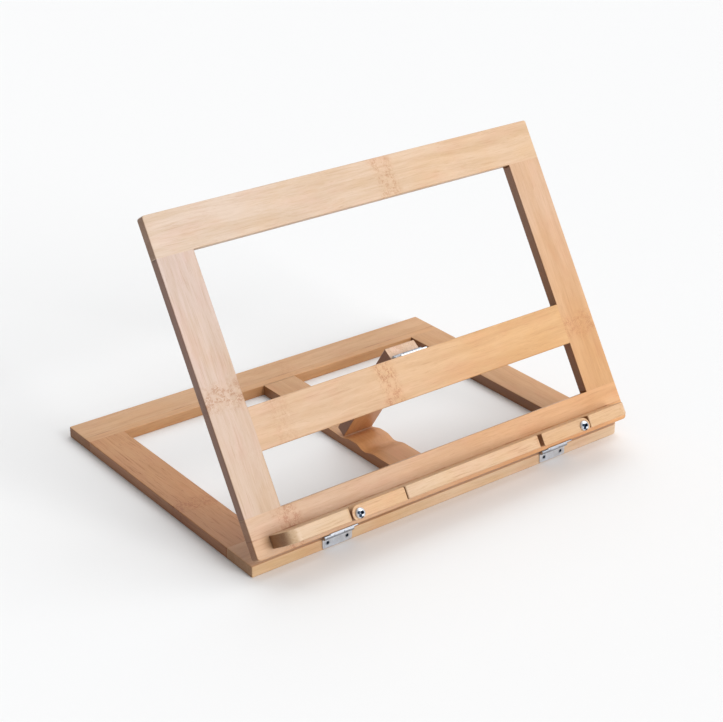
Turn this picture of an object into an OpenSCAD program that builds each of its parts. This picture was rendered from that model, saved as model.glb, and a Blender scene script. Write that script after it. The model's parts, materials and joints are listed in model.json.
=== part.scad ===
// Folding book display stand: a hinged picture-frame back on a flat base, a prop leg
// whose foot stands in a notched rail, a book ledge and two swinging page clips.
// Millimetres. X is the width, +Y points to the rear, Z = 0 is the table.
// The origin is the middle of the base's footprint.

/* [Base] */
// Width of the base and of the back
stand_w = 340; // [300:1:400]
// Depth of the base, front edge to rear edge
base_d = 248; // [246:1:262]
// Thickness of the base boards
base_t = 8.7; // [8.4:0.1:12]
// Width of the base's front rail
base_front_w = 30; // [26:0.5:36]
// Width of the base's rear rail
base_rear_w = 31.3; // [26:0.1:32]
// Width of the base's side stiles
base_stile_w = 30; // [26:0.5:36]
// Radius of the base's corners, seen from above
base_corner_r = 1.2; // [1:0.1:8]
// Radius of the base's front right corner
front_right_r = 6; // [1:0.5:8]

/* [Back] */
// Tilt of the back above the table
back_tilt = 57.65; // [56:0.05:59]
// Height of the back, bottom edge to top edge
back_h = 240.5; // [236:0.5:243]
// Thickness of the back boards
back_t = 8.4; // [8:0.1:10]
// Width of the back's side stiles
back_stile_w = 29.5; // [26:0.5:34]
// Width of the top rail
top_rail_w = 30.2; // [26:0.1:32]
// Width of the middle rail
mid_rail_w = 30.9; // [28:0.1:32]
// Width of the bottom rail
bottom_rail_w = 29.2; // [28:0.1:34]
// Radius of the back's top corners
top_corner_r = 2; // [1:0.5:8]
// Radius of the back's bottom corners
bottom_corner_r = 3; // [1:0.5:8]
// Height of the middle rail's lower edge above the back's bottom edge
mid_rail_low = 68; // [66:0.5:69]

/* [Ledge] */
// Half the length of the ledge
ledge_half = 156.5; // [150:0.5:165]
// How far the ledge stands out of the back
ledge_d = 23; // [21:0.5:28]
// Thickness of the ledge
ledge_t = 9.4; // [9:0.1:12]
// Height of the ledge's underside above the back's bottom edge
ledge_low = 4.5; // [4:0.1:8]
// Radius of the ledge's front corners
ledge_corner_r = 11; // [6:0.5:14]

/* [Page clips] */
// Distance of the left clip's pivot from the middle
left_pivot_x = 98; // [94:0.5:104]
// Distance of the right clip's pivot from the middle
right_pivot_x = 108.5; // [100:0.5:110]
// Length of a clip from its pivot to its free end
clip_reach = 40; // [32:0.5:42]
// Height of a clip, as it lies in the ledge
clip_h = 9.6; // [8.6:0.1:10]
// Thickness of a clip
clip_t = 8; // [6:0.1:9]
// How far the pivots sit below the middle of the ledge's edge
clip_drop = 1.3; // [0:0.1:1.5]
// How far a lying clip's middle sits above its pivot
clip_rise = 1.1; // [0:0.1:1.2]

/* [Prop leg] */
// Sideways offset of the leg and its rail, right positive
prop_x = 3.4; // [-6:0.1:6]
// Width of the leg
leg_w = 27; // [25:0.5:29]
// Thickness of the leg
leg_t = 9.2; // [8:0.1:9.4]
// Width of the notched rail
notch_rail_w = 30; // [29:0.5:34]
// Distance of the foot's lowest edge behind the base's front edge
foot_y = 112; // [111:0.5:113]
// Height of the foot's lowest edge above the table
foot_z = 6.7; // [6.6:0.1:7]

/* [Hinges] */
// Length of each hinge along its pin
hinge_l = 25; // [22:0.5:30]
// Distance of each back hinge from the middle
hinge_x = 100; // [90:0.5:110]
// Reach of a hinge leaf from the pin's axis
leaf_reach = 9.3; // [9:0.1:9.5]
// Thickness of a hinge leaf
leaf_t = 0.8; // [0.6:0.05:0.9]
// Outer radius of the hinge knuckles
knuckle_r = 1.8; // [1.7:0.05:1.9]
// Radius of the hinge pins
pin_r = 1; // [0.9:0.05:1.05]

/* [Hidden] */
$fn = 48;

// Clearances: sides of knuckles, pin in a turning knuckle, pin in its own knuckle,
// screw in its pilot hole
knuckle_gap = 0.25;
pin_run = 0.05;
pin_seat = 0.01;
pilot = 0.03;

// Base
front_y = -base_d / 2;
rear_y = base_d / 2;
base_in_y = front_y + base_front_w;
base_out_y = rear_y - base_rear_w;

// Main hinge axis: knuckles in front of the base's front edge and above its top
axis_y = front_y - knuckle_r;
axis_z = base_t + knuckle_r;

// Back, in its own frame: Y up the back from the hinge axis, Z out of its front face
back_low = knuckle_r;
back_top = back_low + back_h;
back_rear = 0.3;
back_front = back_rear + back_t;
bottom_top = back_low + bottom_rail_w;
mid_low = back_low + mid_rail_low;
mid_top = mid_low + mid_rail_w;
top_low = back_top - top_rail_w;

// Ledge and clips, in the back's frame
ledge_y = back_low + ledge_low;
ledge_front = back_front + ledge_d;
clip_y = ledge_y + ledge_t / 2 - clip_drop;
clip_gap = 0.3;
clip_end_r = clip_h / 2 + clip_rise + 0.05;
clip_slit = 1.55;
clip_free_gap = 0.7;
clip_free_slit = 4;
clip_back = ledge_front - clip_t;
recess_back = clip_back - clip_gap;
clip_screw_r = 2;
clip_head_r = 3.7;
clip_head_t = 2.1;

// Prop hinge axis in the back's frame
rail_mount = 0.2;
leg_mount = 1;
prop_y = mid_top + rail_mount;
prop_z = back_rear - knuckle_r - 0.2;
leg_start = knuckle_r + 0.3;

// The leg's length and opening follow from where its foot stands
pin_y = axis_y + prop_y * cos(back_tilt) - prop_z * sin(back_tilt);
pin_z = axis_z + prop_y * sin(back_tilt) + prop_z * cos(back_tilt);
foot_dy = front_y + foot_y - pin_y;
foot_dz = pin_z - foot_z;
leg_end = sqrt(foot_dy * foot_dy + foot_dz * foot_dz - leg_mount * leg_mount);
prop_open = back_tilt + atan2(foot_dz, foot_dy) + atan2(leg_mount, leg_end);

// Notches: a long slope down to the rear, a short one up to the next crest
notch_first = front_y + 85;
notch_pitch = 29;
notch_count = 4;
notch_depth = 2.5;
notch_fall = 12;
notch_rise = 9;
notch_steps = 6;
// The crests behind the foot's notch stay under the foot's path as the stand folds
relief_y = front_y + 112;
relief_z = 6.3;
relief_slope = 0.0384;

// Screws: [head radius, shank radius, head height]
hinge_screw = [2.1, 1.2, 1.1];
ledge_screw = [3.4, 1.7, 2.2];
screw_off = 5.5;
screw_pair = 8.25;

dowel_r = 2.5;
dowel_half = 15;
dowel_off = 8;
dowel_glue = 0.05;

module bamboo() { color([0.86, 0.66, 0.44]) children(); }
module steel() { color([0.72, 0.74, 0.78]) children(); }

// A box from its low corner to its high corner
module block(lo, hi) { translate(lo) cube(hi - lo); }

// Outline of a board with two rounded corners: X from -half to half, Y from its square
// inner edge to its outer edge
module end_board(half, inner, outer, r, right_r = undef) {
  turn = outer > inner ? -1 : 1;
  ends = [[-1, r], [1, is_undef(right_r) ? r : right_r]];
  difference() {
    translate([-half, min(inner, outer)]) square([2 * half, abs(outer - inner)]);
    for (e = ends) translate([e[0] * half, outer]) square(2 * e[1], center = true);
  }
  for (e = ends) translate([e[0] * (half - e[1]), outer + turn * e[1]]) circle(r = e[1]);
}

// From the back's own frame to the stand's
module in_back() {
  translate([0, axis_y, axis_z]) rotate([back_tilt, 0, 0]) children();
}

// From the leg's own frame: Y from the hinge pin down the leg, Z through its thickness
module in_prop() {
  in_back() translate([prop_x, prop_y, prop_z]) rotate([-prop_open, 0, 0]) children();
}

// Countersunk wood screw along +Z, its head's face at Z = 0
module screw_body(size, len, extra = 0) {
  tip = 2 * size[1];
  rotate_extrude() polygon([
    [0, -2 * extra], [size[0] + extra, -2 * extra], [size[0] + extra, 0],
    [size[1] + extra, size[2]], [size[1] + extra, len - tip], [0, len + extra]
  ]);
}

module screw(size, len) {
  slot = size[0] * 1.25;
  deep = size[2] * 0.55;
  difference() {
    screw_body(size, len);
    for (turn = [0, 90])
      rotate([0, 0, turn]) translate([-slot / 2, -0.22 * size[0] / 2, -1])
        cube([slot, 0.22 * size[0], 1 + deep]);
  }
}

// ---- Hinge, in its own frame: pin along X, wood towards +Y, leaf hanging along -Z.
// mount is how far the wood's face lies from the pin's axis.
function knuckles(outer) = outer
  ? [[-hinge_l / 2, -hinge_l / 6 - knuckle_gap / 2], [hinge_l / 6 + knuckle_gap / 2, hinge_l / 2]]
  : [[-hinge_l / 6 + knuckle_gap / 2, hinge_l / 6 - knuckle_gap / 2]];

module along_x(r, from, to) {
  translate([from, 0, 0]) rotate([0, 90, 0]) cylinder(r = r, h = to - from);
}

module at_hinge_screws(mount) {
  for (side = [-1, 1])
    translate([side * screw_pair, mount - leaf_t, -screw_off]) rotate([-90, 0, 0]) children();
}

module hinge_leaf(outer, mount, seat) {
  difference() {
    union() {
      for (k = knuckles(outer)) {
        along_x(knuckle_r, k[0], k[1]);
        block([k[0], mount - leaf_t, -knuckle_r - 1], [k[1], mount, 0]);
      }
      block([-hinge_l / 2, mount - leaf_t, -leaf_reach], [hinge_l / 2, mount, -knuckle_r - 0.3]);
    }
    along_x(pin_r + seat, -hinge_l, hinge_l);
    at_hinge_screws(mount) screw_body(hinge_screw, 6, pilot);
    // rounded outer corners
    for (side = [-1, 1])
      translate([side * (hinge_l / 2 - 1.5), mount, -leaf_reach + 1.5]) rotate([90, 0, 0])
        difference() {
          translate([side > 0 ? 0 : -2, -2, -1]) cube([2, 2, leaf_t + 2]);
          translate([0, 0, -2]) cylinder(r = 1.5, h = leaf_t + 4);
        }
  }
}

module hinge_pin() { along_x(pin_r, -hinge_l / 2, hinge_l / 2); }

module on_base_hinge(side) { translate([side * hinge_x, axis_y, axis_z]) children(); }
module on_back_hinge(side) {
  in_back() translate([side * hinge_x, 0, 0]) mirror([0, 0, 1]) children();
}
module on_prop_rail_hinge() {
  in_back() translate([prop_x, prop_y, prop_z]) rotate([180, 0, 0]) children();
}
module on_prop_leg_hinge() { in_prop() rotate([90, 0, 0]) children(); }

// Screw holes bored in the wood behind a leaf
module hinge_bores(mount, len) {
  at_hinge_screws(mount) screw_body(hinge_screw, len + 0.2, pilot);
}

// ---- Dowels
module dowel_y(r) { translate([0, -dowel_half, 0]) rotate([-90, 0, 0]) cylinder(r = r, h = 2 * dowel_half); }
module dowel_x(r) { translate([-dowel_half, 0, 0]) rotate([0, 90, 0]) cylinder(r = r, h = 2 * dowel_half); }

// Dowels across the base's butt joints
module base_dowel_set(r) {
  stile_x = (stand_w - base_stile_w) / 2;
  for (x = [-stile_x, prop_x, stile_x], off = [-dowel_off, dowel_off], y = [base_in_y, base_out_y])
    translate([x + off, y, base_t / 2]) dowel_y(r);
}

// Dowels across the back's butt joints, in the back's frame
module back_dowel_set(r) {
  stile_x = (stand_w - back_stile_w) / 2;
  mid_x = stand_w / 2 - back_stile_w;
  mid = back_rear + back_t / 2;
  for (x = [-stile_x, stile_x], off = [-dowel_off, dowel_off], y = [bottom_top, top_low])
    translate([x + off, y, mid]) dowel_y(r);
  for (x = [-mid_x, mid_x], off = [-dowel_off, dowel_off])
    translate([x, (mid_low + mid_top) / 2 + off, mid]) dowel_x(r);
}

// ---- Base
module base_front_rail() bamboo() difference() {
  linear_extrude(base_t)
    end_board(stand_w / 2, base_in_y, front_y, base_corner_r, front_right_r);
  base_dowel_set(dowel_r + dowel_glue);
  for (side = [-1, 1]) on_base_hinge(side) hinge_bores(knuckle_r, 12);
}

module base_rear_rail() bamboo() difference() {
  linear_extrude(base_t) end_board(stand_w / 2, base_out_y, rear_y, base_corner_r);
  base_dowel_set(dowel_r + dowel_glue);
}

module base_stile(side) {
  difference() {
    translate([side * (stand_w - base_stile_w) / 2, 0, 0])
      block([-base_stile_w / 2, base_in_y, 0], [base_stile_w / 2, base_out_y, base_t]);
    base_dowel_set(dowel_r + dowel_glue);
  }
}

module base_left_stile() bamboo() base_stile(-1);
module base_right_stile() bamboo() base_stile(1);

// Height of the rail's top under one flank, s going from crest (0) to bottom (1)
function flank_z(s) = base_t - notch_depth * (3 * s * s - 2 * s * s * s);
function relief(y) = y < relief_y + 2 ? base_t : min(base_t, relief_z + relief_slope * (y - relief_y));
function notch_points(y0) = concat(
  [for (i = [0:notch_steps]) [y0 - notch_fall + notch_fall * i / notch_steps, flank_z(i / notch_steps)]],
  [for (i = [0:notch_steps]) [y0 + 1 + notch_rise * i / notch_steps, flank_z(1 - i / notch_steps)]]
);
rail_top = [
  for (k = [0:notch_count - 1], p = notch_points(notch_first + k * notch_pitch))
    [p[0], min(p[1], relief(p[0]))]
];

module notched_rail() bamboo() difference() {
  translate([prop_x - notch_rail_w / 2, 0, 0]) rotate([90, 0, 90]) linear_extrude(notch_rail_w)
    polygon(concat(
      [[base_out_y, base_t], [base_out_y, 0], [base_in_y, 0], [base_in_y, base_t]],
      rail_top
    ));
  base_dowel_set(dowel_r + dowel_glue);
}

module base_dowels() bamboo() base_dowel_set(dowel_r);

// ---- Back
module back_top_rail() bamboo() in_back() difference() {
  translate([0, 0, back_rear]) linear_extrude(back_t)
    end_board(stand_w / 2, top_low, back_top, top_corner_r);
  back_dowel_set(dowel_r + dowel_glue);
}

module back_mid_rail() bamboo() difference() {
  in_back() difference() {
    block(
      [-stand_w / 2 + back_stile_w, mid_low, back_rear],
      [stand_w / 2 - back_stile_w, mid_top, back_front]
    );
    back_dowel_set(dowel_r + dowel_glue);
  }
  on_prop_rail_hinge() hinge_bores(rail_mount, 12);
}

module back_bottom_rail() bamboo() difference() {
  in_back() difference() {
    translate([0, 0, back_rear]) linear_extrude(back_t)
      end_board(stand_w / 2, bottom_top, back_low, bottom_corner_r);
    back_dowel_set(dowel_r + dowel_glue);
    at_ledge_screws() screw_body(ledge_screw, 26.2, pilot);
  }
  for (side = [-1, 1]) on_back_hinge(side) hinge_bores(knuckle_r, 12);
}

module back_stile(side) {
  in_back() difference() {
    translate([side * (stand_w - back_stile_w) / 2, 0, 0])
      block([-back_stile_w / 2, bottom_top, back_rear], [back_stile_w / 2, top_low, back_front]);
    back_dowel_set(dowel_r + dowel_glue);
  }
}

module back_left_stile() bamboo() back_stile(-1);
module back_right_stile() bamboo() back_stile(1);
module back_dowels() bamboo() in_back() back_dowel_set(dowel_r);

// ---- Ledge with a recess in its front edge for each clip
module at_ledge_screws() {
  for (x = [-135, -25, 25, 135]) translate([x, ledge_y + ledge_t / 2, back_rear]) children();
}

module clip_recess(near, far) {
  block([near, ledge_y - 1, recess_back], [far, ledge_y + ledge_t + 1, ledge_front + 1]);
}

module book_ledge() bamboo() in_back() difference() {
  translate([0, ledge_y + ledge_t, back_front]) rotate([90, 0, 0]) linear_extrude(ledge_t)
    end_board(ledge_half, 0, ledge_d, ledge_corner_r);
  clip_recess(-left_pivot_x - clip_end_r - clip_slit, -left_pivot_x + clip_reach + clip_free_gap);
  clip_recess(right_pivot_x - clip_reach - clip_free_slit, right_pivot_x + clip_end_r + clip_gap);
  at_ledge_screws() screw_body(ledge_screw, 26.2, pilot);
  for (x = [-left_pivot_x, right_pivot_x]) at_clip(x) clip_screw_body(pilot);
}

module ledge_screws() steel() in_back() at_ledge_screws() screw(ledge_screw, 26);

// ---- Page clips: bars that turn on a screw in the ledge's front edge
module at_clip(x) { translate([x, clip_y, ledge_front]) children(); }

// Shank of the clip screw, from the head's underside back into the ledge
module clip_screw_body(extra = 0) {
  translate([0, 0, -clip_t - 11]) cylinder(r = clip_screw_r + extra, h = clip_t + 11 + 0.15);
}

module clip_screw() {
  difference() {
    union() {
      clip_screw_body();
      translate([0, 0, 0.15]) rotate_extrude() polygon([
        [0, 0], [clip_head_r, 0], [clip_head_r, clip_head_t * 0.35],
        [clip_head_r - 0.35, clip_head_t * 0.7], [clip_head_r - 1, clip_head_t * 0.92],
        [clip_head_r - 1.8, clip_head_t], [0, clip_head_t]
      ]);
    }
    translate([0, 0, clip_head_t - 1.3]) cylinder(r = 1.45, h = 3, $fn = 6);
  }
}

// A clip lying along +X from its pivot: its pivot end follows a circle about the pivot, and
// the corners of its free end are eased
module clip_bar() {
  ease = 1.2;
  low = clip_rise - clip_h / 2;
  high = clip_rise + clip_h / 2;
  difference() {
    translate([0, 0, -clip_t]) linear_extrude(clip_t) union() {
      intersection() {
        circle(r = clip_end_r);
        translate([-clip_end_r, low]) square([clip_end_r + 1, clip_h]);
      }
      translate([0, low]) square([clip_reach - ease, clip_h]);
      translate([0, low + ease]) square([clip_reach, clip_h - 2 * ease]);
      for (y = [low + ease, high - ease]) translate([clip_reach - ease, y]) circle(r = ease);
    }
    translate([0, 0, -clip_t - 1]) cylinder(r = clip_screw_r + 0.08, h = clip_t + 2);
  }
}

module left_page_clip() bamboo() in_back() at_clip(-left_pivot_x) clip_bar();
module right_page_clip() bamboo() in_back() at_clip(right_pivot_x) mirror([1, 0, 0]) clip_bar();
module left_clip_screw() steel() in_back() at_clip(-left_pivot_x) clip_screw();
module right_clip_screw() steel() in_back() at_clip(right_pivot_x) clip_screw();

// ---- Back hinges
module left_hinge_base_leaf() steel() on_base_hinge(-1) hinge_leaf(true, knuckle_r, pin_seat);
module right_hinge_base_leaf() steel() on_base_hinge(1) hinge_leaf(true, knuckle_r, pin_seat);
module left_hinge_back_leaf() steel() on_back_hinge(-1) hinge_leaf(false, knuckle_r, pin_run);
module right_hinge_back_leaf() steel() on_back_hinge(1) hinge_leaf(false, knuckle_r, pin_run);
module left_hinge_pin() steel() on_base_hinge(-1) hinge_pin();
module right_hinge_pin() steel() on_base_hinge(1) hinge_pin();

module base_hinge_screws() steel() for (side = [-1, 1])
  on_base_hinge(side) at_hinge_screws(knuckle_r) screw(hinge_screw, 12);

module back_hinge_screws() steel() for (side = [-1, 1])
  on_back_hinge(side) at_hinge_screws(knuckle_r) screw(hinge_screw, 12);

// ---- Prop leg, hinged behind the middle rail's top edge
module prop_leg() bamboo() difference() {
  foot_r = 1;
  in_prop() translate([-leg_w / 2, 0, 0]) rotate([90, 0, 90]) linear_extrude(leg_w) union() {
    translate([leg_start, leg_mount]) square([leg_end - leg_start - foot_r, leg_t]);
    translate([leg_start, leg_mount + foot_r]) square([leg_end - leg_start, leg_t - 2 * foot_r]);
    for (z = [leg_mount + foot_r, leg_mount + leg_t - foot_r])
      translate([leg_end - foot_r, z]) circle(r = foot_r);
  }
  on_prop_leg_hinge() hinge_bores(leg_mount, 7);
}

module prop_hinge_rail_leaf() steel() on_prop_rail_hinge() hinge_leaf(true, rail_mount, pin_seat);
module prop_hinge_leg_leaf() steel() on_prop_leg_hinge() hinge_leaf(false, leg_mount, pin_run);
module prop_hinge_pin() steel() on_prop_rail_hinge() hinge_pin();
module prop_rail_screws() steel() on_prop_rail_hinge() at_hinge_screws(rail_mount) screw(hinge_screw, 12);
module prop_leg_screws() steel() on_prop_leg_hinge() at_hinge_screws(leg_mount) screw(hinge_screw, 7);

base_front_rail();
base_rear_rail();
base_left_stile();
base_right_stile();
notched_rail();
base_dowels();
back_top_rail();
back_mid_rail();
back_bottom_rail();
back_left_stile();
back_right_stile();
back_dowels();
book_ledge();
ledge_screws();
left_page_clip();
right_page_clip();
left_clip_screw();
right_clip_screw();
left_hinge_base_leaf();
left_hinge_back_leaf();
left_hinge_pin();
right_hinge_base_leaf();
right_hinge_back_leaf();
right_hinge_pin();
base_hinge_screws();
back_hinge_screws();
prop_leg();
prop_hinge_rail_leaf();
prop_hinge_leg_leaf();
prop_hinge_pin();
prop_rail_screws();
prop_leg_screws();
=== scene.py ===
"""Folding bamboo book stand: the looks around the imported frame. Metres, in the stand's frame."""

import json
import math

import bmesh
import bpy
from mathutils import Matrix, Vector

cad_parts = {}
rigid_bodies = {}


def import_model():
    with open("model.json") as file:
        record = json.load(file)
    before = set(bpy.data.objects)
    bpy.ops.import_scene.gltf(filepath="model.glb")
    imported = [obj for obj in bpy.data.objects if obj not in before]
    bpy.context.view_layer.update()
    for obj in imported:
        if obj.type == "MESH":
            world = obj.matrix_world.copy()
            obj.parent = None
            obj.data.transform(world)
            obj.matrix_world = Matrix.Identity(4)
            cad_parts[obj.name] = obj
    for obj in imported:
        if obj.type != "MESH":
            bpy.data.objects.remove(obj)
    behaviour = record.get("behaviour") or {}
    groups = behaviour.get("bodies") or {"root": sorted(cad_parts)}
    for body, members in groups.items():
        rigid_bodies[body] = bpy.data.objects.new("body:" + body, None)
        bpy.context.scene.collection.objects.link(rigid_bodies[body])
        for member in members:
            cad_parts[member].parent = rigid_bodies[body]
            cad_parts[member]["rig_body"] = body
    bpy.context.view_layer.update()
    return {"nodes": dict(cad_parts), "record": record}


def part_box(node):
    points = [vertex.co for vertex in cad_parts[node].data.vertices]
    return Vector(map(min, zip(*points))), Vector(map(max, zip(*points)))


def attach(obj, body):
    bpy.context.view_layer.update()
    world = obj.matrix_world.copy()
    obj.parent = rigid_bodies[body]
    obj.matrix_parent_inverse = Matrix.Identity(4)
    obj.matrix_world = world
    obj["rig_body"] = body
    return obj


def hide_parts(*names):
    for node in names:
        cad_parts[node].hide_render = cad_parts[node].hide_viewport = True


MM = 0.001
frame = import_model()
cad = frame["nodes"]
mounts = {m["name"]: m for m in frame["record"]["mounts"]}
scene = bpy.context.scene
X, Y, Z = Vector((1, 0, 0)), Vector((0, 1, 0)), Vector((0, 0, 1))


def unit(v):
    return Vector(v).normalized()


# ---------------------------------------------------------------- node helpers
def add(tree, kind, ins=(), **props):
    """A node with its properties and inputs set; an input is a value or another node's socket."""
    n = tree.nodes.new(kind)
    for key, value in props.items():
        setattr(n, key, value)
    for key, value in ins.items() if isinstance(ins, dict) else enumerate(ins):
        if isinstance(value, bpy.types.NodeSocket):
            tree.links.new(value, n.inputs[key])
        elif value is not None:
            n.inputs[key].default_value = value
    return n


def calc(tree, op, a, b=None, c=None):
    return add(tree, "ShaderNodeMath", (a, b, c), operation=op).outputs[0]


def times(tree, a, b):
    return calc(tree, "MULTIPLY", a, b)


def size_of(tree, a):
    return calc(tree, "ABSOLUTE", a)


def vec(tree, op, a, b=None):
    n = add(tree, "ShaderNodeVectorMath", (a, b), operation=op)
    return n.outputs["Value" if op in ("DOT_PRODUCT", "LENGTH") else "Vector"]


def smooth(tree, value, low, high, to_low=0.0, to_high=1.0):
    """The value carried smoothly from the range low to high into the range to_low to to_high."""
    ins = {"Value": value, "From Min": low, "From Max": high, "To Min": to_low, "To Max": to_high}
    return add(tree, "ShaderNodeMapRange", ins, interpolation_type="SMOOTHSTEP").outputs[0]


def mix(tree, factor, a, b, blend="MIX"):
    n = add(tree, "ShaderNodeMix", {0: factor, 6: a, 7: b}, data_type="RGBA", blend_type=blend)
    return n.outputs[2]


def tinted(tree, factor, colour, tint):
    """The colour multiplied by a tint where the factor is 1; the tint is a colour or a socket."""
    tint = tint if isinstance(tint, bpy.types.NodeSocket) else (*tint, 1)
    return mix(tree, factor, colour, mix(tree, 1.0, colour, tint, "MULTIPLY"))


def noise(tree, point, scale=1.0, detail=2.0, rough=0.5, distort=0.0):
    ins = {"Vector": point, "Scale": scale, "Detail": detail, "Roughness": rough, "Distortion": distort}
    return add(tree, "ShaderNodeTexNoise", ins, noise_dimensions="3D").outputs["Fac"]


def grain_noise(tree, point, along, across, **kind):
    """Noise with that many features per millimetre along and across the fibres."""
    return noise(tree, vec(tree, "MULTIPLY", point, (along, across, across)), **kind)


def in_millimetres(tree, coord):
    return add(tree, "ShaderNodeVectorMath", {0: coord, "Scale": 1000.0}, operation="SCALE").outputs[0]


def new_material(name):
    m = bpy.data.materials.new(name)
    m.use_nodes = True
    return m, m.node_tree, m.node_tree.nodes["Principled BSDF"]


# ---------------------------------------------------------------- bamboo
# tints that multiply the board's colour
DEEP_TONE = (0.90, 0.86, 0.79)
CLOUD = (0.99, 0.95, 0.87)
BLUSH = (1.00, 0.94, 0.94)
NEXT_STRIP = (0.98, 0.92, 0.83)
# dark line of an open strip joint; where it runs along the ledge it is painted crease shade
JOINT_AND_CREASE_SHADE = (0.62, 0.46, 0.34)
DARK_STREAK = (0.80, 0.68, 0.54)
PALE_FIBRE = (1.08, 1.10, 1.12)
THREAD = (0.70, 0.56, 0.42)
DARK_FIBRE = (0.84, 0.75, 0.64)
NODE_BAND = (0.97, 0.88, 0.76)
FLECK = (0.74, 0.52, 0.37)
PALE_ARC = (1.10, 1.12, 1.10)
PORE = (0.80, 0.72, 0.66)
# lighter arrises: rubbing, and a painted highlight along the eased edges
RUBBED_EDGE_AND_HIGHLIGHT = (1.16, 1.14, 1.10)


def cane_nodes(g, ins, p, along):
    """The cane's nodes: crooked bands across the board, with crowded short flecks and pale arcs."""
    crook = calc(g, "MULTIPLY_ADD", grain_noise(g, p, 0.03, 0.07), 14.0, -7.0)
    bands = []
    for k in "12":
        away = size_of(g, calc(g, "ADD", calc(g, "SUBTRACT", along, ins["Node " + k]), crook))
        bands.append(times(g, smooth(g, away, 12.0, 3.5), ins["Strength " + k]))
    band = calc(g, "MAXIMUM", *bands)

    curl = grain_noise(g, p, 0.44, 0.34, detail=1.6, rough=0.6, distort=1.0)
    squiggle = smooth(g, size_of(g, calc(g, "SUBTRACT", curl, 0.5)), 0.10, 0.015)
    patch = smooth(g, grain_noise(g, p, 0.26, 0.17, detail=2.5, rough=0.6), 0.40, 0.58)
    fleck = times(g, times(g, squiggle, patch), band)
    arc = times(g, smooth(g, curl, 0.60, 0.68), band)
    return band, fleck, arc


def fibre_frame(g, p, band):
    """Coordinates whose fibres wander slowly along the board and swerve round its nodes."""
    sway = calc(g, "MULTIPLY_ADD", grain_noise(g, p, 0.012, 0.04), 8.0, -4.0)
    swerve = times(g, calc(g, "MULTIPLY_ADD", grain_noise(g, p, 0.2, 0.2), 9.0, -4.5), band)
    shift = calc(g, "ADD", sway, swerve)
    return vec(g, "ADD", p, add(g, "ShaderNodeCombineXYZ", (0.0, shift, shift)).outputs[0])


def strip_seam(g, ins, p, across):
    """Where the next strip of bamboo lies, and the joint line between the two, open here and there."""
    past = calc(g, "SUBTRACT", across, ins["Seam"])
    gaps = smooth(g, grain_noise(g, p, 0.03, 0.0, detail=3, rough=0.6), 0.48, 0.60, 0.2, 0.9)
    line = smooth(g, size_of(g, past), 0.55, 0.2)
    return smooth(g, past, 0.15, -0.15), times(g, line, gaps)


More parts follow.
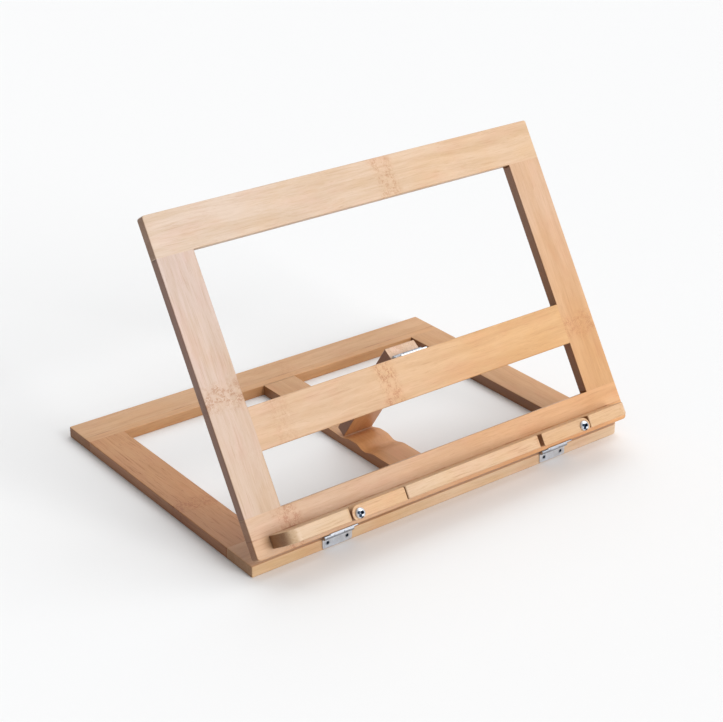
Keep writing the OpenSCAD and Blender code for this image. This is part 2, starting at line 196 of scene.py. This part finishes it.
def bamboo_group():
    """Bamboo in a board's own frame: X along the fibres, coordinates in millimetres."""
    g = bpy.data.node_groups.new("bamboo_core", "ShaderNodeTree")
    for kind, names in {
        "Float": ("Seed", "Half length", "Node 1", "Node 2", "Strength 1", "Strength 2", "Streaks", "Seam"),
        "Color": ("Near end", "Far end", "Side shade", "Rear shade", "End shade"),
        "Vector": ("Face axis",),
    }.items():
        for name in names:
            g.interface.new_socket(name, in_out="INPUT", socket_type="NodeSocket" + kind)
    for name, kind in (("Color", "Color"), ("Roughness", "Float"), ("Height", "Float")):
        g.interface.new_socket(name, in_out="OUTPUT", socket_type="NodeSocket" + kind)
    ins = g.nodes.new("NodeGroupInput").outputs
    results = g.nodes.new("NodeGroupOutput").inputs

    coord = g.nodes.new("ShaderNodeTexCoord").outputs
    at = in_millimetres(g, coord["Object"])
    along, across = add(g, "ShaderNodeSeparateXYZ", (at,)).outputs[:2]
    seed = add(g, "ShaderNodeCombineXYZ", [times(g, ins["Seed"], k) for k in (137.3, 71.9, 33.1)])
    p = vec(g, "ADD", at, seed.outputs[0])
    band, fleck, arc = cane_nodes(g, ins, p, along)
    q = fibre_frame(g, p, band)

    # 1 on the sawn ends and 1 on the edge faces; the edge face on the frame's +Y side takes the rear shade.
    # The side, rear and end tints hold the grain's own tone and, on many boards, painted shade or painted
    # light
    facing = add(g, "ShaderNodeSeparateXYZ", (coord["Normal"],)).outputs
    end = smooth(g, size_of(g, facing[0]), 0.55, 0.95)
    edge_face = smooth(g, size_of(g, vec(g, "DOT_PRODUCT", coord["Normal"], ins["Face axis"])), 0.9, 0.35)
    edge_face = times(g, edge_face, calc(g, "SUBTRACT", 1.0, end))
    shade = mix(g, smooth(g, facing[1], -0.2, 0.2), ins["Side shade"], ins["Rear shade"])

    # from broad tone to single fibres
    tone = grain_noise(g, q, 0.012, 0.16, detail=3, rough=0.6)
    cloud = grain_noise(g, p, 0.022, 0.045, detail=3, rough=0.6)
    blush = grain_noise(g, vec(g, "ADD", p, (91.0, 47.0, 13.0)), 0.03, 0.06, detail=3, rough=0.6)
    streak = grain_noise(g, q, 0.03, 0.9, detail=3, rough=0.65)
    line = grain_noise(g, q, 0.035, 1.9, detail=2, rough=0.5)
    fibre = grain_noise(g, q, 0.11, 4.6, detail=2, rough=0.6)
    thread = times(g, smooth(g, line, 0.60, 0.70), ins["Streaks"])
    next_strip, joint = strip_seam(g, ins, p, across)
    pores = times(g, smooth(g, grain_noise(g, p, 0.1, 1.9, detail=2, rough=0.6), 0.50, 0.66), end)
    arris = add(g, "ShaderNodeAttribute", attribute_name="edge").outputs["Fac"]
    rubbed_and_highlit = times(g, arris, smooth(g, grain_noise(g, p, 0.05, 0.4, detail=3), 0.35, 0.70))

    drift = smooth(g, calc(g, "DIVIDE", along, ins["Half length"]), -0.95, 0.95)
    colour = mix(g, drift, ins["Near end"], ins["Far end"])
    for factor, tint in (
        (smooth(g, tone, 0.34, 0.70), DEEP_TONE),
        (smooth(g, cloud, 0.40, 0.70), CLOUD),
        (smooth(g, blush, 0.45, 0.72), BLUSH),
        (next_strip, NEXT_STRIP),
        (joint, JOINT_AND_CREASE_SHADE),
        (times(g, smooth(g, streak, 0.52, 0.72), ins["Streaks"]), DARK_STREAK),
        (smooth(g, streak, 0.46, 0.28, 0.0, 0.5), PALE_FIBRE),
        (thread, THREAD),
        (smooth(g, fibre, 0.54, 0.70, 0.0, 0.45), DARK_FIBRE),
        (smooth(g, fibre, 0.44, 0.30, 0.0, 0.35), PALE_FIBRE),
        (times(g, band, 0.4), NODE_BAND),
        (times(g, fleck, 0.85), FLECK),
        (times(g, arc, 0.6), PALE_ARC),
        # edge faces and sawn ends: grain tone, with painted shade on sides in shade and painted light on
        # some
        (edge_face, shade),
        (end, ins["End shade"]),
        (pores, PORE),
        # arrises lighter: rubbing and a painted highlight
        (times(g, rubbed_and_highlit, 0.4), RUBBED_EDGE_AND_HIGHLIGHT),
    ):
        colour = tinted(g, factor, colour, tint)
    g.links.new(colour, results["Color"])

    rough = calc(g, "ADD", smooth(g, streak, 0.2, 0.8, 0.36, 0.46), times(g, thread, 0.08))
    for value, amount in ((end, 0.16), (rubbed_and_highlit, -0.06)):
        rough = calc(g, "MULTIPLY_ADD", value, amount, rough)
    g.links.new(rough, results["Roughness"])

    height = times(g, streak, 0.4)
    for value, amount in ((thread, -0.35), (fleck, -0.45), (fibre, 0.3), (pores, -0.8)):
        height = calc(g, "MULTIPLY_ADD", value, amount, height)
    g.links.new(height, results["Height"])
    return g


CORE = bamboo_group()
NOWHERE = -9999.0  # mm, off every board
PALE = (0.63, 0.44, 0.29)  # the colour that the boards' tints multiply
# edge-face tint: side-grain tone, darkened further as painted shade for sides in shade
SIDE_TONE_AND_PAINTED_SHADE = (0.42, 0.32, 0.26)
PALE_SIDE = (0.92, 0.90, 0.88)
# sawn ends: end-grain tone, darkened further as painted shade
DARK_END = (0.52, 0.41, 0.35)
LONG_HALF, MIDDLE_HALF, SHORT_HALF = 150.0, 130.0, 90.0  # mm each way over which a board's tint drifts
PORE_DEPTH = 0.00012  # m


def bamboo(
    name, seed, near, far=None, half=LONG_HALF, nodes=(), streaks=0.35, seam=NOWHERE, axis=Z,
    side=SIDE_TONE_AND_PAINTED_SHADE, rear=None, end=DARK_END,
):
    """Bamboo whose tint drifts from the near to the far end; nodes are (place along the board, strength)."""
    m, t, bsdf = new_material(name)
    (place_1, strength_1), (place_2, strength_2) = (list(nodes) + [(NOWHERE, 0.0)] * 2)[:2]
    core = add(t, "ShaderNodeGroup", {
        "Seed": seed, "Half length": half, "Face axis": axis,
        "Near end": [a * b for a, b in zip(PALE, near)] + [1],
        "Far end": [a * b for a, b in zip(PALE, far or near)] + [1],
        "Node 1": place_1, "Strength 1": strength_1, "Node 2": place_2, "Strength 2": strength_2,
        "Streaks": streaks, "Seam": seam,
        "Side shade": [*side, 1], "Rear shade": [*(rear or side), 1], "End shade": [*end, 1],
    }, node_tree=CORE).outputs
    bump = {"Strength": 0.45, "Distance": PORE_DEPTH, "Height": core["Height"]}
    t.links.new(core["Color"], bsdf.inputs["Base Color"])
    t.links.new(core["Roughness"], bsdf.inputs["Roughness"])
    t.links.new(add(t, "ShaderNodeBump", bump).outputs[0], bsdf.inputs["Normal"])
    bsdf.inputs["IOR"].default_value = 1.5
    return m


# ---------------------------------------------------------------- steel
# painted shade on the hinge knuckles under the ledge and the back
KNUCKLE_PAINTED_SHADE = (0.52, 0.52, 0.53)
KNUCKLE_REACH = 2.9  # mm from the pin's axis: the knuckle and the strip of leaf beside it
# painted shade fills each screw's recess
RECESS_R = 1.2  # mm, the dark middle of a screw's head
RECESS_PAINTED_SHADE = (0.012, 0.022, 0.04, 1)
SCRATCH_DEPTH = 0.00004  # m


def off_axis(tree, at, centre, axis):
    """Distance from the line through the centre along the axis."""
    return vec(tree, "LENGTH", vec(tree, "CROSS_PRODUCT", vec(tree, "SUBTRACT", at, centre), axis))


def steel(name, colour, rough, seed, grain=(1, 1, 1), scratch=0.5, knuckles=(), recesses=(), axis=None):
    """Plated steel, with painted shade round the hinge pins and in the screws' recesses (centres in mm)."""
    m, t, bsdf = new_material(name)
    at = in_millimetres(t, t.nodes.new("ShaderNodeTexCoord").outputs["Object"])
    p = vec(t, "ADD", at, (seed * 31.7, seed * 17.3, seed * 9.1))
    fine = noise(t, vec(t, "MULTIPLY", p, [6 * v for v in grain]), detail=3, rough=0.6)
    blotch = noise(t, p, scale=0.45, detail=3, rough=0.6)
    speck = smooth(t, noise(t, p, scale=3.2, detail=2), 0.62, 0.72)

    def dimmed(amount):
        return (*[c * amount for c in colour], 1)

    col = mix(t, smooth(t, blotch, 0.3, 0.7), dimmed(0.86), dimmed(1))
    col = mix(t, smooth(t, fine, 0.4, 0.7, 0, scratch), col, dimmed(0.72))
    col = mix(t, times(t, speck, 0.4), col, dimmed(0.5))
    # painted shade round each hinge pin
    for centre in knuckles:
        near = smooth(t, off_axis(t, at, centre, X), KNUCKLE_REACH, KNUCKLE_REACH - 0.4)
        col = tinted(t, near, col, KNUCKLE_PAINTED_SHADE)
    # painted shade in each screw's recess
    for centre in recesses:
        inside = smooth(t, off_axis(t, at, centre, axis), RECESS_R + 0.25, RECESS_R - 0.2)
        col = mix(t, inside, col, RECESS_PAINTED_SHADE)
    t.links.new(col, bsdf.inputs["Base Color"])
    t.links.new(smooth(t, blotch, 0.25, 0.75, rough - 0.06, rough + 0.08), bsdf.inputs["Roughness"])
    bump = add(t, "ShaderNodeBump", {"Strength": 0.35, "Distance": SCRATCH_DEPTH, "Height": fine})
    t.links.new(bump.outputs[0], bsdf.inputs["Normal"])
    bsdf.inputs["Metallic"].default_value = 1.0
    return m


# ---------------------------------------------------------------- boards from the CAD's own outlines
ARC_STEPS = 3  # facets across an eased arris
TIGHT = 0.01  # mm of ease where a board meets its neighbour
ROUND_EDGE = 4.0  # mm; a shorter edge is a facet of a rounded corner
EASE_CHANGE = 0.9  # mm each side of a joint over which the ease changes
CORNER_PAD = 0.4  # mm by which the first point past a corner lies beyond the ring's inset
JOINT_ROOM = 1.0  # mm at least from that point to a joint
PROBE = 0.25  # mm outside an edge, where a neighbour is looked for
SLACK = 0.02  # mm within which surfaces count as touching
STRAIGHT = 0.99999  # cosine above which two edges are one


def place(origin, x, z):
    """Matrix of a frame with that origin, X axis and Z axis."""
    x, z = unit(x), unit(z)
    m = Matrix((x, z.cross(x), z)).transposed().to_4x4()
    m.translation = Vector(origin)
    return m


def local_points(node, m):
    """The node's vertices in that frame, in mm."""
    inverse = m.inverted()
    return [(inverse @ v.co) / MM for v in cad[node].data.vertices]


def local_box(node, m):
    co = local_points(node, m)
    return [Vector(f(c[k] for c in co) for k in range(3)) for f in (min, max)]


def area(pts):
    return sum(a[0] * b[1] - b[0] * a[1] for a, b in zip(pts, pts[1:] + pts[:1])) / 2


def outline(node, m):
    """Outer loop of the face that looks along the frame's Z, in mm, and the node's lowest and highest Z."""
    co = local_points(node, m)
    top, low = max(c.z for c in co), min(c.z for c in co)
    steps = []
    for poly in cad[node].data.polygons:
        ring = [co[v] for v in poly.vertices]
        if all(abs(c.z - top) < SLACK for c in ring):
            keys = [(round(c.x, 2), round(c.y, 2)) for c in ring]
            steps += [(a, b) for a, b in zip(keys, keys[1:] + keys[:1]) if a != b]
    inner = set(steps)
    follows = {a: b for a, b in steps if (b, a) not in inner}
    loops = []
    while follows:
        loop = [next(iter(follows))]
        while loop[-1] in follows:
            loop.append(follows.pop(loop[-1]))
        loops.append(loop[:-1])
    pts = [Vector(p) for p in max(loops, key=lambda loop: abs(area(loop)))]
    if area(pts) < 0:
        pts.reverse()
    kept = []
    for k, p in enumerate(pts):
        arriving, leaving = (p - pts[k - 1]).normalized(), (pts[(k + 1) % len(pts)] - p).normalized()
        if arriving.dot(leaving) < STRAIGHT:
            kept.append(p)
    return kept, low, top


def touches(p, height, boxes):
    """Whether that point of the outline, at that height, lies on or in a neighbour's box."""
    spot = (p.x, p.y, height)
    return any(all(lo[k] - SLACK <= c <= hi[k] + SLACK for k, c in enumerate(spot)) for lo, hi in boxes)


def divide(a, b, height, boxes, ease, ring):
    """Corners along one edge, as [point, ease before it, ease after it], and the ease at the edge's end."""
    length = (b - a).length
    if length < ROUND_EDGE:
        return [[a, ease, ease]], ease
    along = (b - a) / length
    outward = Vector((along.y, -along.x))
    pad = ring + CORNER_PAD
    cuts = {0.0, length}
    if length > 2 * pad + 0.2:
        cuts |= {pad, length - pad}
    for corner in (c for box in boxes for c in box):
        for axis in (0, 1):
            if abs(along[axis]) > 0.9:  # the edge runs along this axis
                s = (corner[axis] - a[axis]) / along[axis]
                if pad + JOINT_ROOM < s < length - pad - JOINT_ROOM:
                    cuts |= {s - EASE_CHANGE, s, s + EASE_CHANGE}
    cuts = sorted(cuts)
    middles = [a + along * ((s0 + s1) / 2) + outward * PROBE for s0, s1 in zip(cuts, cuts[1:])]
    joined = [touches(p, height, boxes) for p in middles]
    corners = [[a, None, TIGHT if joined[0] else ease]]
    for s, before, after in zip(cuts[1:], joined, joined[1:]):
        amount = TIGHT if before or after else ease
        corners.append([a + along * s, amount, amount])
    return corners, TIGHT if joined[-1] else ease


def eased_corners(pts, height, boxes, ease, ring):
    """All corners round the outline, each with the ease of the edge before it and of the edge after it."""
    edges = [divide(a, b, height, boxes, ease, ring) for a, b in zip(pts, pts[1:] + pts[:1])]
    for k, (corners, _) in enumerate(edges):
        if corners[0][1] is None:
            corners[0][1] = edges[k - 1][1]
    return [corner for corners, _ in edges for corner in corners]


def inset(corners, k, share, extra):
    """The corner moved into the face by that share of its ease on each side, plus extra."""
    p, before, after = corners[k]
    d0 = (p - corners[k - 1][0]).normalized()
    d1 = (corners[(k + 1) % len(corners)][0] - p).normalized()
    n0, n1 = Vector((-d0.y, d0.x)), Vector((-d1.y, d1.x))
    e0, e1 = before * share + extra, after * share + extra
    det = n0.x * n1.y - n0.y * n1.x
    if abs(det) < 0.35:  # nearly straight on
        between = (n0 + n1).normalized()
        return p + between * ((e0 + e1) / 2) / max(0.5, between.dot(n0))
    return p + Vector(((e0 * n1.y - e1 * n0.y) / det, (n0.x * e1 - n1.x * e0) / det))


def eased_prism(name, corners, low, top, ease, ring):
    """Mesh of the prism between the two heights, with rounded arrises and a flat ring inside each face."""
    bm = bmesh.new()
    edge_layer = bm.verts.layers.float.new("edge")
    profile = []  # share of the ease inwards, share of the ease down, extra inwards, weight of the rubbed arris and its painted highlight
    for k in range(ARC_STEPS + 1):
        turn = math.pi / 2 * k / ARC_STEPS
        profile.append((1 - math.cos(turn), 1 - math.sin(turn), 0.0, 0.6 if k in (0, ARC_STEPS) else 1.0))
    profile.append((1.0, 0.0, ring - ease, 0.0))

    def shell(surface, inwards):
        loops = []
        for share, down, extra, arris_rub_and_highlight in profile:
            loop = []
            for k, (_, before, after) in enumerate(corners):
                q = inset(corners, k, share, extra)
                deep = down * max(before, after)
                v = bm.verts.new((q.x * MM, q.y * MM, (surface + inwards * deep) * MM))
                v[edge_layer] = arris_rub_and_highlight * min(1.0, max(before, after) / ease)
                loop.append(v)
            loops.append(loop)
        return loops

    under, over = shell(low, 1), shell(top, -1)
    middle = [bm.verts.new((p.x * MM, p.y * MM, (low + top) / 2 * MM)) for p, _, _ in corners]
    stack = under[::-1] + [middle] + over
    for lower, upper in zip(stack, stack[1:]):
        for k in range(len(corners)):
            j = (k + 1) % len(corners)
            bm.faces.new((lower[k], lower[j], upper[j], upper[k]))
    bm.faces.new(stack[0][::-1])
    bm.faces.new(stack[-1])
    bmesh.ops.recalc_face_normals(bm, faces=bm.faces)
    for f in bm.faces:
        f.smooth = True
    mesh = bpy.data.meshes.new(name)
    bm.to_mesh(mesh)
    bm.free()
    return mesh


def board(node, m, mat, ease=0.8, ring=1.5, neighbours=()):
    """The node's prism, rebuilt in its own frame with eased arrises; edges at a neighbour stay tight."""
    pts, low, top = outline(node, m)
    boxes = [local_box(n, m) for n in neighbours]
    corners = eased_corners(pts, (low + top) / 2, boxes, ease, ring)
    mesh = eased_prism(node + "_wood", corners, low, top, ease, ring)
    mesh.materials.append(mat)
    ob = bpy.data.objects.new(node + "_wood", mesh)
    scene.collection.objects.link(ob)
    ob.matrix_world = m
    normals = ob.modifiers.new("normals", "WEIGHTED_NORMAL")
    normals.weight = 100
    normals.keep_sharp = False
    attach(ob, cad[node]["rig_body"])
    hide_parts(node)


# ---------------------------------------------------------------- the boards' own frames
out = unit(mounts["back_face"]["axis"])  # out of the tilted back, towards the reader
up = out.cross(X)


def middle_of(node):
    lo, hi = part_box(node)
    return (lo + hi) / 2


def lying(node):
    return place(middle_of(node), X, Z)


def lying_deep(node):
    return place(middle_of(node), Y, Z)


def edge_on(node):
    return place(middle_of(node), Y, X)


def standing(node):
    return place(middle_of(node), X, out)


def standing_up(node):
    return place(middle_of(node), up, out)


# ---------------------------------------------------------------- base and back: butt-jointed boards
BASE = ["base_front_rail", "base_rear_rail", "base_left_stile", "base_right_stile", "notched_rail"]
BACK = ["back_top_rail", "back_mid_rail", "back_bottom_rail", "back_left_stile", "back_right_stile"]


def joined_board(node, frame_of, mat, **shape):
    """A board of the base or the back, tight where it meets the other boards of its group."""
    group = BASE if node in BASE else BACK
    board(node, frame_of(node), mat, neighbours=[n for n in group if n != node], **shape)


# its top is darker, most at the left end, a painted shadow; its side tint brightens the front edge, a
# painted light
joined_board("base_front_rail", lying, bamboo(
    "bamboo_base_front", 1.0, (0.80, 0.62, 0.46), (0.84, 0.70, 0.60),
    side=(1.26, 1.61, 1.98), rear=PALE_SIDE, end=(0.71, 0.74, 0.79),
), ring=0.9)
joined_board("base_rear_rail", lying, bamboo(
    "bamboo_base_rear", 2.0, (0.93, 0.78, 0.62), (0.98, 0.81, 0.63),
    nodes=((20, 0.25),), seam=-8.5, side=PALE_SIDE,
), ring=0.9)
# its edge faces' dark tint is painted shade
joined_board("base_left_stile", lying_deep, bamboo(
    "bamboo_base_left", 3.0, (0.76, 0.50, 0.29), (0.845, 0.60, 0.365), half=SHORT_HALF,
    nodes=((-30, 0.9),), streaks=0.9, side=(0.64, 0.57, 0.58),
))
joined_board("base_right_stile", lying_deep, bamboo(
    "bamboo_base_right", 4.0, (0.91, 0.72, 0.52), half=SHORT_HALF,
))
# darker towards the rear, partly a painted shadow of the leg and the back; its dark side tint is painted
# shade
joined_board("notched_rail", edge_on, bamboo(
    "bamboo_notched", 5.0, (1.06, 0.78, 0.53), (0.90, 0.72, 0.52), half=SHORT_HALF,
    axis=Y, side=(0.55, 0.44, 0.38),
), ease=0.5, ring=1.0)

# the back's boards turn pale and cool towards the left and the top: partly their own tone, partly a painted
# sheen
joined_board("back_top_rail", standing, bamboo(
    "bamboo_top", 6.0, (0.96, 1.06, 1.27), (1.02, 1.01, 1.00), nodes=((27, 0.8),), side=PALE_SIDE,
))
joined_board("back_mid_rail", standing, bamboo(
    "bamboo_mid", 7.0, (0.95, 0.92, 0.91), (1.04, 0.87, 0.60), half=MIDDLE_HALF,
    nodes=((-25, 1.0), (-117, 0.3)), side=PALE_SIDE,
))
# the bottom rail's strip joint sits just above the ledge, so its dark line is painted crease shade along the
# ledge's joint
above_ledge = local_box("book_ledge", standing("back_bottom_rail"))[1].y + 0.3
joined_board("back_bottom_rail", standing, bamboo(
    "bamboo_bottom", 8.0, (0.91, 0.86, 0.86), (1.09, 0.89, 0.67),
    nodes=((-138, 0.9),), side=PALE_SIDE, seam=above_ledge,
))
# its edge faces' very dark tint is painted shade
joined_board("back_left_stile", standing_up, bamboo(
    "bamboo_left", 9.0, (0.86, 0.88, 0.98), (0.90, 0.99, 1.30), half=SHORT_HALF,
    nodes=((-10, 1.0),), side=(0.385, 0.24, 0.175),
))
joined_board("back_right_stile", standing_up, bamboo(
    "bamboo_right", 10.0, (0.98, 0.77, 0.51), (0.98, 0.91, 0.90), half=SHORT_HALF, nodes=((-40, 0.6),),
))

# ---------------------------------------------------------------- ledge, page clips and prop
# its sawn left end is darkened as painted shade as well as end grain; its paler, cooler left part is partly
# a painted sheen
board("book_ledge", place(middle_of("book_ledge"), X, up), bamboo(
    "bamboo_ledge", 11.0, (0.93, 0.94, 0.93), (1.04, 0.98, 0.88), streaks=0.6,
    axis=Y, side=PALE_SIDE, end=(0.45, 0.31, 0.21),
), ease=0.7, ring=1.2)
for hand, seed in (("left", 12.0), ("right", 13.0)):
    node = hand + "_page_clip"
    clip_wood = bamboo("bamboo_clip_" + hand, seed, (0.99, 0.90, 0.77), streaks=0.6, side=PALE_SIDE)
    board(node, standing(node), clip_wood, ease=0.5, ring=0.55)

leg_face = Vector(max(cad["prop_leg"].data.polygons, key=lambda face: face.area).normal)
# the leg is darker and redder all over, a painted shade under the back; its end tint lights up its sawn
# ends, a painted light
board("prop_leg", place(middle_of("prop_leg"), X.cross(leg_face), X), bamboo(
    "bamboo_leg", 14.0, (0.84, 0.60, 0.41), half=SHORT_HALF, axis=Y, end=(1.36, 1.97, 3.3),
), ease=0.6, ring=0.65)


# ---------------------------------------------------------------- fittings and dowels keep their CAD meshes
SCREWS_APART = 5.0  # mm; points nearer to each other across the axis belong to one screw
FACE_DEPTH = 0.05  # mm


def head_centres(node, axis):
    """Middle of each screw's head face, in mm: the screws lie along the axis, heads at their wide ends."""
    screws = []  # each screw's first point across the axis, and all its points
    for v in cad[node].data.vertices:
        co = v.co / MM
        flat = co - axis * co.dot(axis)
        screw = next((s for s in screws if (s[0] - flat).length < SCREWS_APART), None)
        if screw is None:
            screw = (flat, [])
            screws.append(screw)
        screw[1].append(co)
    centres = []
    for _, points in screws:
        faces = []
        for way in (axis, -axis):
            reach = max(c.dot(way) for c in points)
            face = [c for c in points if c.dot(way) > reach - FACE_DEPTH]
            middle = sum(face, Vector()) / len(face)
            faces.append((max((c - middle).length for c in face), middle))
        centres.append(max(faces, key=lambda f: f[0])[1])
    return centres


SCREW_AXES = {
    "base_hinge_screws": Y, "back_hinge_screws": up, "prop_rail_screws": up, "prop_leg_screws": leg_face,
    "ledge_screws": out, "left_clip_screw": out, "right_clip_screw": out,
}
ALONG_LEAF, ROUND_PIN = (0.15, 1, 1), (1, 0.2, 0.2)  # how the steel's grain is drawn out
pin_centres = [middle_of(n) / MM for n in ("left_hinge_pin", "prop_hinge_pin")]
zinc = steel("zinc_leaf", (0.78, 0.82, 0.88), 0.38, 1.0, ALONG_LEAF, knuckles=pin_centres)
# the back hinge's leaves: the same zinc, darkened as painted shade
zinc_painted_shade = steel("zinc_back_leaf", (0.46, 0.48, 0.52), 0.50, 1.5, ALONG_LEAF)
pin_steel = steel("pin_steel", (0.40, 0.38, 0.36), 0.30, 2.0, ROUND_PIN)
dowel_wood = bamboo("dowel_wood", 15.0, (1.0, 1.0, 0.96))


def screw_steel(node):
    axis = SCREW_AXES[node]
    colour, rough = ((0.76, 0.79, 0.84), 0.42) if "clip" in node else ((0.62, 0.66, 0.72), 0.30)
    seed = 3.0 + len(node)
    return steel(
        node + "_steel", colour, rough, seed, scratch=0.3, recesses=head_centres(node, axis), axis=axis
    )


def fitting(node, mat, ease):
    """The CAD node with its finish and eased edges (mm)."""
    ob = cad[node]
    ob.data.materials.clear()
    ob.data.materials.append(mat)
    weld = ob.modifiers.new("weld", "WELD")
    weld.merge_threshold = 0.00001
    bevel = ob.modifiers.new("ease", "BEVEL")
    bevel.width = ease * MM
    bevel.segments = 2
    bevel.limit_method = "ANGLE"
    bevel.angle_limit = math.radians(35)
    ob.modifiers.new("normals", "WEIGHTED_NORMAL").keep_sharp = False


for node in cad:
    if "screw" in node:
        fitting(node, screw_steel(node), 0.15 if "clip" in node else 0.06)
    elif "leaf" in node:
        fitting(node, zinc_painted_shade if "back" in node else zinc, 0.12)
    elif node.endswith("_pin"):
        fitting(node, pin_steel, 0.15)
    elif "dowels" in node:
        fitting(node, dowel_wood, 0.3)

# ---------------------------------------------------------------- floor, light and camera
PAPER_GREYS = [(v, v, v, 1) for v in (0.86, 0.864)]
bpy.ops.mesh.primitive_circle_add(vertices=128, radius=60, fill_type="NGON")
floor = bpy.context.object
floor.name = "studio_floor"
paper, t, bsdf = new_material("studio_paper")
grit = noise(t, t.nodes.new("ShaderNodeTexCoord").outputs["Object"], scale=900, detail=2)
t.links.new(mix(t, grit, *PAPER_GREYS), bsdf.inputs["Base Color"])
bsdf.inputs["Roughness"].default_value = 0.9
bsdf.inputs["Specular IOR Level"].default_value = 0.0
floor.data.materials.append(paper)

world = bpy.data.worlds.new("studio")
scene.world = world
world.use_nodes = True
sky = world.node_tree.nodes["Background"]
sky.inputs["Color"].default_value = (0.97, 0.985, 1.0, 1)
sky.inputs["Strength"].default_value = 0.36


def sun(name, towards, strength, degrees):
    """A soft light from that direction, that many degrees across."""
    data = bpy.data.lights.new(name, "SUN")
    data.energy, data.angle = strength, math.radians(degrees)
    ob = bpy.data.objects.new(name, data)
    ob.rotation_mode = "QUATERNION"
    ob.rotation_quaternion = unit(towards).to_track_quat("Z", "Y")
    scene.collection.objects.link(ob)


sun("key", (0.243, -0.876, 0.416), 1.83, 30)
sun("front_fill", (0.50, -0.30, 0.81), 1.02, 60)
sun("rear_fill", (0.30, 0.50, 0.81), 1.02, 60)

EYE, AIM = Vector((-0.7054, -0.9403, 0.6320)), Vector((0.01367, -0.00282, 0.060))
LENS, SENSOR = 86.4, 36  # mm
ROLL = 0.23  # degrees
cam_data = bpy.data.cameras.new("camera")
cam_data.sensor_width, cam_data.lens = SENSOR, LENS
cam_data.clip_start, cam_data.clip_end = 0.05, 200
cam = bpy.data.objects.new("camera", cam_data)
scene.collection.objects.link(cam)
scene.camera = cam
turn = (EYE - AIM).to_track_quat("Z", "Y").to_matrix() @ Matrix.Rotation(math.radians(ROLL), 3, "Z")
cam.matrix_world = Matrix.Translation(EYE) @ turn.to_4x4()

scene.view_settings.view_transform = "Standard"
scene.view_settings.look = "None"
